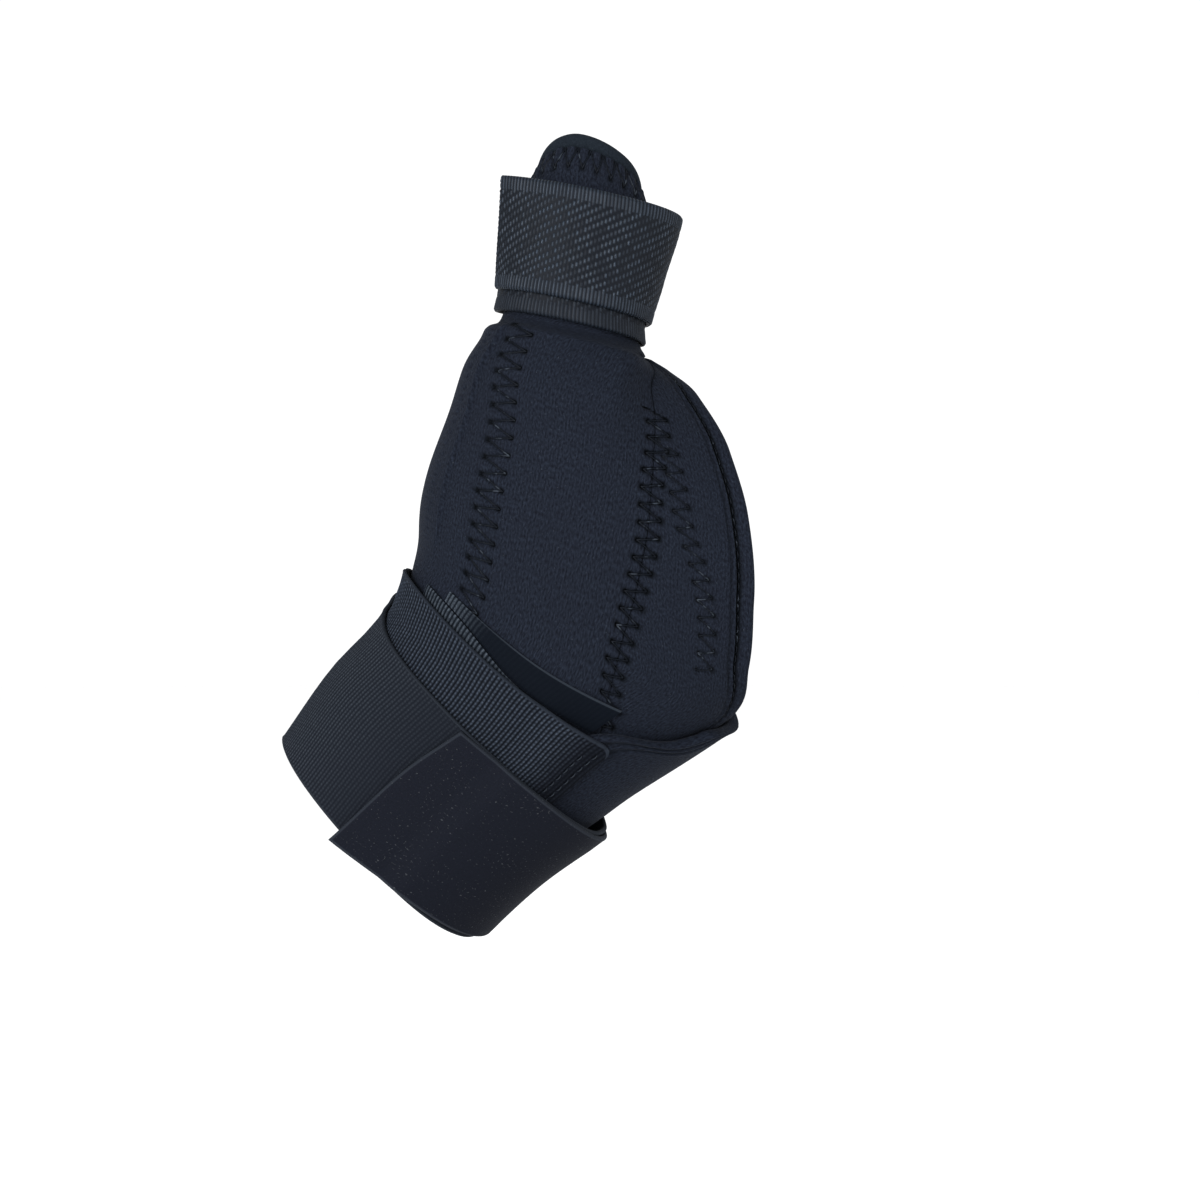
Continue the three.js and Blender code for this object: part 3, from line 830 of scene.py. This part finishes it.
def on_palm_hem(station, height):
    """In the first groove of the palm panel's hem"""
    edge = palm_edge_at(station)
    turn = edge - as_turn(station, edge, palm_hem[1][0])
    return on_sleeve(station, turn, panel_wall - 0.3 + height, tuck_at(station, turn))


def on_wing_hem(station, height):
    """In the first groove of the wing's hem"""
    edge = wing_edge_at(station)
    turn = edge + as_turn(station, edge, wing_hem[1][0])
    return on_sleeve(station, turn, wing_lift * wing_on_top(turn) + panel_wall - 0.15 + height)


polyester = Finish("polyester_thread", roughness=0.5, sheen=0, gloss=0.15)
polyester.weave = polyester.node("ShaderNodeTexCoord", {}, {}, 3)  # the place in metres
# Painted glints: spots along the threads, set by noise, are dyed lighter
painted_glints = polyester.step(polyester.noise(0.0022), 0.56, 0.68)
polyester.dye(polyester.blend(painted_glints, rgb(3, 5, 9), rgb(36, 44, 56)))
for name, rows in (
    ("left_zigzag", left_zigzag.stitches()), ("right_zigzag", right_zigzag.stitches()),
    ("palm_zigzag", palm_zigzag.stitches()), ("radial_zigzag", radial_zigzag.stitches()),
    ("border_zigzag", border_zigzag.stitches()),
    ("palm_hem", straight_stitches(on_palm_hem, 3.95, 8.6, stitch_pitch, 0.1)),
    ("dorsal_hem", straight_stitches(on_wing_hem, 4.3, 9.4, stitch_pitch, 0.1)),
):
    sew(name + "_threads", rows, polyester, thread_thickness)

# Loop tapes: two thin woven tapes of looped nylon, one over the other, for the hook tab to grip.
# They are sewn flat round the palm side and show above the elastic's first turn.
strap_width = 41
loop_wall = 0.6
loop_reach = 6.8  # how far the tapes show above the elastic
loop_step = 3.2  # and how far the lower one does
loop_tuck = 4
strap_start = 129  # the turn of the elastic's sewn end
windings = [  # degrees wound from it, then the elastic's lower and upper edge over its width
    (0, -0.137, 0.863), (44, -0.232, 0.763), (104, -0.28, 0.72), (134, -0.302, 0.698),
    (224, -0.415, 0.585), (314, -0.51, 0.44), (360, -0.537, 0.422), (410, -0.51, 0.398),
    (458, -0.49, 0.417), (494, -0.48, 0.546), (560, -0.52, 0.5), (610, -0.49, 0.44),
    (670, -0.47, 0.422), (712, -0.5, 0.42), (742, -0.53, 0.405), (771, -0.585, 0.366),
]
tape_edges = [  # turn, then the top edges of both tapes as shares of step and reach
    (34, 1, 0.97), (62, 0.9, 0.95), (90, 0.1, 0.95), (122, 0, 1)]
tape_lines = np.hstack([[0, 0.02, 0.06], np.linspace(0.1, 0.9, 16), [0.94, 0.98, 1]])
tape_rib = 0.95
tape_rib_raise = 0.12
palm_turn_length = 0.55  # a degree's length round the palm side


def lay_tape(name, start, end, ribbed_to, low, high):
    """A tape from one turn to another, ribbed up to a third. low and high give its edges, as
    lengths above the elastic's upper edge."""
    def place(turn, share, wall):
        edge = read(windings, 2, strap_start - turn) * strap_width
        length = edge + mix(low(turn), high(turn), share)
        thinning = 0.35 * np.clip(1 - np.minimum(share, 1 - share) * 14, 0, 1)
        rib = ripple(turn * palm_turn_length, tape_rib)
        rib = rib * (1 - smooth(ribbed_to - 12, ribbed_to + 8, turn))
        thickness = loop_wall * (1 - thinning) + tape_rib_raise * rib
        return on_sleeve(station_at(length), turn, panel_wall + layer_gap + wall * thickness)

    tape = lay_cloth(
        name + "_cloth", np.linspace(start, end, int((end - start) * 3)), tape_lines, place,
        lambda turn, share: ((turn - ribbed_to) * palm_turn_length, share * loop_reach))
    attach(tape, "root")
    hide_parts(name)
    return tape


loops = Finish("loop_weave", roughness=0.8, sheen=0.01, gloss=0.1)
round_tape, across_tape = loops.axis(0), loops.axis(1)
ribs = loops.wave(round_tape, tape_rib)
smooth_end = loops.step(round_tape, -7, 4)
tufts = loops.noise(0.5, 2, 3)
fine_edge = 1 - loops.band(across_tape, 0, loop_reach - 0.45, 0.1)
# Painted highlights on the ribs' crests and painted shade between them, in the ribbed part, varied
# by the tufts; the smooth part is dyed lighter along its upper edge. The same pattern gives the
# relief.
painted_rib_shine = ribs * (tufts * 1.5 - 0.2) * (1 - smooth_end * 0.98) + fine_edge * smooth_end * 0.22
loops.dye(loops.blend(painted_rib_shine, rgb(2, 4, 8), rgb(84, 100, 120)))
loops.relief(painted_rib_shine + tufts * 0.3, 0.2)
lower_tape = lay_tape(
    "loop_tape_lower", 40, 92, 88, lambda turn: -loop_tuck,
    lambda turn: read(tape_edges, 1, turn) * loop_step - layer_gap / 2)
upper_tape = lay_tape(
    "loop_tape_upper", 52, 121, 66,
    lambda turn: read(tape_edges, 1, turn) * loop_step + layer_gap / 2,
    lambda turn: read(tape_edges, 2, turn) * loop_reach)
for tape in (lower_tape, upper_tape):
    tape.data.materials.append(loops.material)

# Wrist strap: ribbed elastic, sewn on the wing at one end with two rows of stitches and wound
# nearly twice round the wrist, with a fine rolled edge on both sides.
elastic_wall = 1.1
rib_pitch = 1.0
end_round = 3.2
end_stitches = (2.1, 4.3)  # the two rows' distances from the sewn end
strap_end = windings[-1][0]
tab_from, tab_gap = 610, 1  # where the tab starts, and the elastic ends just before it


def under_straps(turn):
    """What the straps lie on, as a lift out of the hollow: panels, wing and loop tapes"""
    side = np.mod(turn, 360)
    wing = (wing_lift + 0.5) * smooth(98, 112, side) * wing_on_top(side)
    tapes = (loop_wall + layer_gap) * smooth(6, 18, side) * (1 - smooth(122, 134, side))
    return panel_wall + np.maximum(wing, tapes)


def strap_point(wound, share, height):
    """A point of the wound strap, at a height over its underside"""
    length = mix(read(windings, 1, wound), read(windings, 2, wound), share) * strap_width
    spiral = wound / 360 * (elastic_wall + layer_gap)
    turn = strap_start - wound
    return on_sleeve(station_at(length), turn, under_straps(turn) + layer_gap + spiral + height)


all_wound = np.linspace(0, strap_end, 3000)
strap_run = run_of(strap_point(all_wound, 0.5, elastic_wall))
elastic_end = np.interp(tab_from - tab_gap, all_wound, strap_run)
strap_rows = np.hstack([[0, 0.006, 0.014, 0.024, 0.036, 0.05], np.linspace(0.08, 0.92, 8),
                             [0.95, 0.964, 0.976, 0.986, 0.994, 1]])


def elastic_place(back_run, share, wall):
    """back_run is the run from the sewn end, less than 0, so that the faces point outwards"""
    run = -back_run
    wound = np.interp(run, strap_run, all_wound)
    from_end = np.minimum(run, end_round)
    corner = end_round - np.sqrt(np.maximum(end_round**2 - (end_round - from_end) ** 2, 0))
    corner = corner / strap_width
    share = mix(corner, 1 - corner, share)
    off = np.minimum(share, 1 - share) * strap_width
    # the second turn is stretched, and its ribs lie flatter as far as the tab
    stretched = 1 - 0.9 * smooth(140, 180, run) + 0.5 * smooth(235, 262, run)
    ribbed = smooth(3, 10, run) * smooth(1, 1.6, off) * stretched
    sewn = sum(bell(run - at, 0.2) for at in end_stitches)
    soft = np.exp(-np.minimum(off, run) * 6)
    relief = 0.2 * (ripple(run, rib_pitch) - 1) * ribbed + 0.14 * bell(off - 0.5, 0.1) - 0.25 * sewn
    thickness = elastic_wall * (1 - 0.5 * soft) + relief
    return strap_point(wound, share, mix(0.2 * soft, thickness, wall))


lines_per_rib = 5
elastic_lines = np.arange(int(elastic_end * lines_per_rib), 0, -1) / lines_per_rib
elastic_lines = -np.hstack([[elastic_end], elastic_lines, [0.1, 0]])
elastic = lay_cloth(
    "elastic_cloth", elastic_lines, strap_rows, elastic_place,
    lambda back_run, share: (-back_run, share * strap_width))
ribbed = Finish("ribbed_elastic", roughness=0.8, sheen=0.02, gloss=0.1)
across_ribs, along_ribs = ribbed.axis(0), ribbed.axis(1)
second_turn = ribbed.step(across_ribs, 150, 190)
flattened = 1 - ribbed.band(across_ribs, 150, 246, 16) * 0.85
flattened = ribbed.step(across_ribs, 3, 12) * flattened
crest = ribbed.wave(across_ribs, rib_pitch)
yarn = ribbed.noise(0.5, 2.5, 2)
beads = ribbed.wave(along_ribs + ribbed.wave(across_ribs, 2 * rib_pitch) * 0.4, 0.85)
rolled_edge = 1 - ribbed.band(along_ribs, 0.7, strap_width - 0.7, 0.12)
# lines: painted highlights on the ribs' crests and painted shade in the gaps between them, broken
# into beads and by the yarn's noise, and weaker where the ribs lie flatter; they give the relief
# too. The rolled edges take an even middle tone.
lines = crest * (0.45 + beads * 0.55) * (yarn * 1.4 + 0.1) * (flattened * 0.85 + 0.15)
painted_rib_light = lines * (1 - rolled_edge) + rolled_edge * 0.3
first_dye = ribbed.blend(painted_rib_light, rgb(2, 3, 6), rgb(52, 64, 84))
second_dye = ribbed.blend(painted_rib_light, rgb(7, 9, 14), rgb(44, 52, 63))
ribbed.dye(ribbed.blend(second_turn, first_dye, second_dye))
ribbed.relief(lines + rolled_edge * 0.5, 0.15)
elastic.data.materials.append(ribbed.material)
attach(elastic, "root")
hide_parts("wrist_strap")
end_rows = []
for run in end_stitches:
    wound = np.interp(run, strap_run, all_wound)
    end_rows += straight_stitches(
        lambda share, height: strap_point(wound, share, elastic_wall + height),
        0.05, 0.95, 2.2, 0.05)
pale_thread = Finish("pale_thread", roughness=0.5, sheen=0, gloss=0.2)
pale_thread.dye(rgb(16, 21, 29))
end_threads = sew("strap_end_threads", end_rows, pale_thread, 0.3)

# Hook tab: the smooth dark end panel of the wrist strap, with a fine edging and some lint on its
# face. It is sewn to the elastic's end and pressed on to the turn below with its hooks.
tab_wall = 1.3
tab_slant = 8  # degrees by which its upper corner stops short
tab_length = 86


def tab_place(along, share, wall):
    wound = mix(tab_from, strap_end - tab_slant * share, along)
    off = np.minimum(share, 1 - share) * strap_width
    near = np.minimum(off, np.minimum(along, 1 - along) * tab_length)
    swell = 0.16 * np.sin(along * 9 + share * 4) * smooth(1, 6, near)
    soft = np.exp(-near * 3.5)
    thickness = tab_wall * (1 - 0.5 * soft) + swell + 0.1 * bell(off - 0.6, 0.1)
    return strap_point(wound, share, mix(0.15 * soft, thickness, wall))


tab_lines = np.hstack(
    [[0, 0.003, 0.008, 0.015], np.linspace(0.025, 0.975, 90), [0.985, 0.992, 0.997, 1]])
tab_rows = np.hstack([[0, 0.005, 0.012, 0.018, 0.024], np.linspace(0.04, 0.96, 44),
                           [0.976, 0.982, 0.988, 0.995, 1]])
tab = lay_cloth(
    "hook_tab_cloth", tab_lines, tab_rows, tab_place,
    lambda along, share: (along * tab_length, share * strap_width))
hooks = Finish("hook_face", roughness=0.8, sheen=0.02, gloss=0.12)
round_tab, across_tab = hooks.axis(0), hooks.axis(1)
lint = hooks.noise(0.55, 1, 2, 20) + hooks.noise(14, 1, 1) * 0.16
lint = hooks.step(lint, 0.715, 0.815)
nap = hooks.noise(0.35, 1.5, 4)
edging = 1 - hooks.band(across_tab, 0.7, strap_width - 0.7, 0.15) * (
    1 - hooks.step(round_tab, tab_length - 0.8, tab_length - 0.5))
hook_ground = hooks.blend(nap, rgb(4, 5, 9), rgb(9, 11, 18))
hook_ground = hooks.blend(edging * 0.5, hook_ground, rgb(34, 40, 50))
hooks.dye(hooks.blend(lint * 0.45, hook_ground, rgb(100, 106, 114)))
hooks.relief(nap + lint, 0.12)
tab.data.materials.append(hooks.material)
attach(tab, "root")
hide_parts("hook_tab")

# Thumb strap: woven tape with ribbed selvages, wound one and a half turns round the thumb from
# its sewn end, with its cut free end on the left.
tape_width = 26.5
tape_wall = 1.2
tape_from, tape_to = 22, 572  # the turns of its free end and of its sewn end
outer_rise = 4.4  # how much higher up the thumb the outer turn lies
flare = 4.8  # how far its upper edge stands off at the right
flap_from, flap_lift = 56, 3.6  # where the free end leaves the turn below, and how far
cord_pitch = 0.88  # the tape's fine cords run across it
twill_pitch = 1.93  # and each is bound down at this distance, in slanting lines
twill_slant = 0.67
selvage = 3.2


def tape_point(turn, share, height):
    outer = 1 - smooth(205, 385, turn)
    spiral = (tape_to - turn) / 360 * (tape_wall + layer_gap)
    flaring = smooth(105, 175, turn) * (1 - smooth(185, 290, turn))
    straight = np.maximum(0, (flap_from - turn) / (flap_from - tape_from)) ** 1.5
    flap = flap_lift * straight * mix(0.1, 1, share)
    length = web_length + layer_gap + outer * outer_rise + share * tape_width
    lift = panel_wall + layer_gap + spiral + flare * share * outer * flaring + flap
    return on_sleeve(station_at(length), turn, lift + height)


tape_turns = np.linspace(tape_from, tape_to, 2000)
tape_run = run_of(tape_point(tape_turns, 0.5, tape_wall))
# where the inner turn starts, under the outer turn, for its painted shadow
inner_turn_run = np.interp(330, tape_turns, tape_run)


def tape_place(run, share, wall):
    across = share * tape_width
    off = np.minimum(across, tape_width - across)
    fray = 0.3 * np.abs(np.sin(math.pi * across / 1.2)) * np.exp(-run * 3)
    turn = np.interp(run + fray, tape_run, tape_turns)
    cord = 1 - ripple(run, cord_pitch)
    slanted = across - twill_slant * np.floor(run / cord_pitch) * cord_pitch
    dash = np.sin(math.pi * np.mod(slanted / twill_pitch, 1))
    plain = 1 - smooth(selvage - 0.3, selvage + 0.3, off)
    relief = 0.14 * cord * mix(dash, 1, plain) - 0.1 * bell(off - selvage, 0.1)
    soft = np.exp(-off * 5)
    thickness = tape_wall * (1 - 0.4 * soft) + relief
    return tape_point(turn, share, mix(0.15 * soft, thickness, wall))


thumb_tape = lay_cloth(
    "thumb_strap_cloth", np.arange(0, tape_run[-1], cord_pitch / 4), np.linspace(0, 1, 58),
    tape_place, lambda run, share: (run, share * tape_width))
twill = Finish("twill_tape", roughness=0.5, sheen=0.02, gloss=0.2)
tape_along, tape_across = twill.axis(0), twill.axis(1)
cord_number = (tape_along * (1 / cord_pitch)).maths("FLOOR")
cord_crest = 1 - twill.wave(tape_along, cord_pitch)
slanted = tape_across * (1 / twill_pitch) - cord_number * (twill_slant * cord_pitch / twill_pitch)
frayed = twill.noise(0.5, 1, 3)
dash = twill.band(slanted.maths("FRACT"), 0.2, 0.7, 0.14) * cord_crest * (frayed * 1.6 + 0.1)
chance = twill.chance(cord_number, slanted.maths("FLOOR"))
plain_edge = 1 - twill.band(tape_across, selvage, tape_width - selvage, 0.15)
# Painted glints: the twill's dashes are dyed lighter at their crests, each of random strength, and
# so are the selvages' cords; the same crests make the cloth smoother and give the relief.
crests_and_painted_glints = dash * (chance + 0.15) * (1 - plain_edge) + plain_edge * cord_crest * (chance * 0.3 + 0.4)
# Painted shadow: the inner turn, under the outer one, is dyed half as bright
inner_turn_painted_shadow = twill.step(tape_along, inner_turn_run - 6, inner_turn_run + 6)
crests_and_painted_glints = crests_and_painted_glints * (1 - inner_turn_painted_shadow * 0.5)
twill.dye(twill.blend(crests_and_painted_glints, rgb(2, 4, 8), rgb(36, 48, 66)))
twill.fill(twill.shader, {"Roughness": 0.62 - crests_and_painted_glints * 0.34})
twill.relief(crests_and_painted_glints, 0.14)
thumb_tape.data.materials.append(twill.material)
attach(thumb_tape, "root")
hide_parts("thumb_strap")

# Studio: a plain pale floor far below the splint, which hangs as on a raised hand, with a white
# surround and three soft lights, in metres. The gamma meets the contrast of a product photo.
bpy.ops.object.select_all(action="DESELECT")
bpy.ops.mesh.primitive_circle_add(vertices=96, radius=4, fill_type="NGON", location=(0, 0, -0.11))
floor = bpy.context.object
floor.name = "floor"
floor_paint = bpy.data.materials.new("floor_paint")
floor_paint.use_nodes = True
floor_shader = floor_paint.node_tree.nodes["Principled BSDF"]
floor_shader.inputs["Base Color"].default_value = (0.94, 0.94, 0.94, 1)
floor_shader.inputs["Roughness"].default_value = 0.9
floor.data.materials.append(floor_paint)

world = bpy.data.worlds.new("surround")
bpy.context.scene.world = world
world.use_nodes = True
background = world.node_tree.nodes["Background"]
background.inputs["Color"].default_value = (1, 1, 1, 1)
background.inputs["Strength"].default_value = 1.06
bpy.context.scene.view_settings.view_transform = "Standard"
bpy.context.scene.view_settings.gamma = 0.8


lit_point = np.array([0.03, 0, 0.04])  # in the palm


def soft_light(name, place, size, power):
    """A square light that faces the splint"""
    x, y, z = lit_point - np.array(place)
    turned = (math.atan2(math.hypot(x, y), -z), 0, math.atan2(-x, y))
    bpy.ops.object.light_add(type="AREA", location=place, rotation=turned)
    light = bpy.context.object
    light.name = name
    light.data.size = size
    light.data.energy = power


soft_light("key_light", (-0.72, -0.9, 0.35), 0.45, 12)
soft_light("front_light", (-0.34, -1.0, 0.22), 0.2, 5)
soft_light("fill_light", (0.9, -0.6, 0.1), 0.8, 8)

# Camera: square on to the palm side, at the height of the palm. The long lens and the distance
# put the splint where it stands in the photo.
bpy.ops.object.camera_add(location=(0.0384, -0.62, 0.0408), rotation=(math.radians(90), 0, 0))
camera = bpy.context.object
camera.name = "camera"
camera.data.lens = 77.5
camera.data.sensor_width = 36
bpy.context.scene.camera = camera
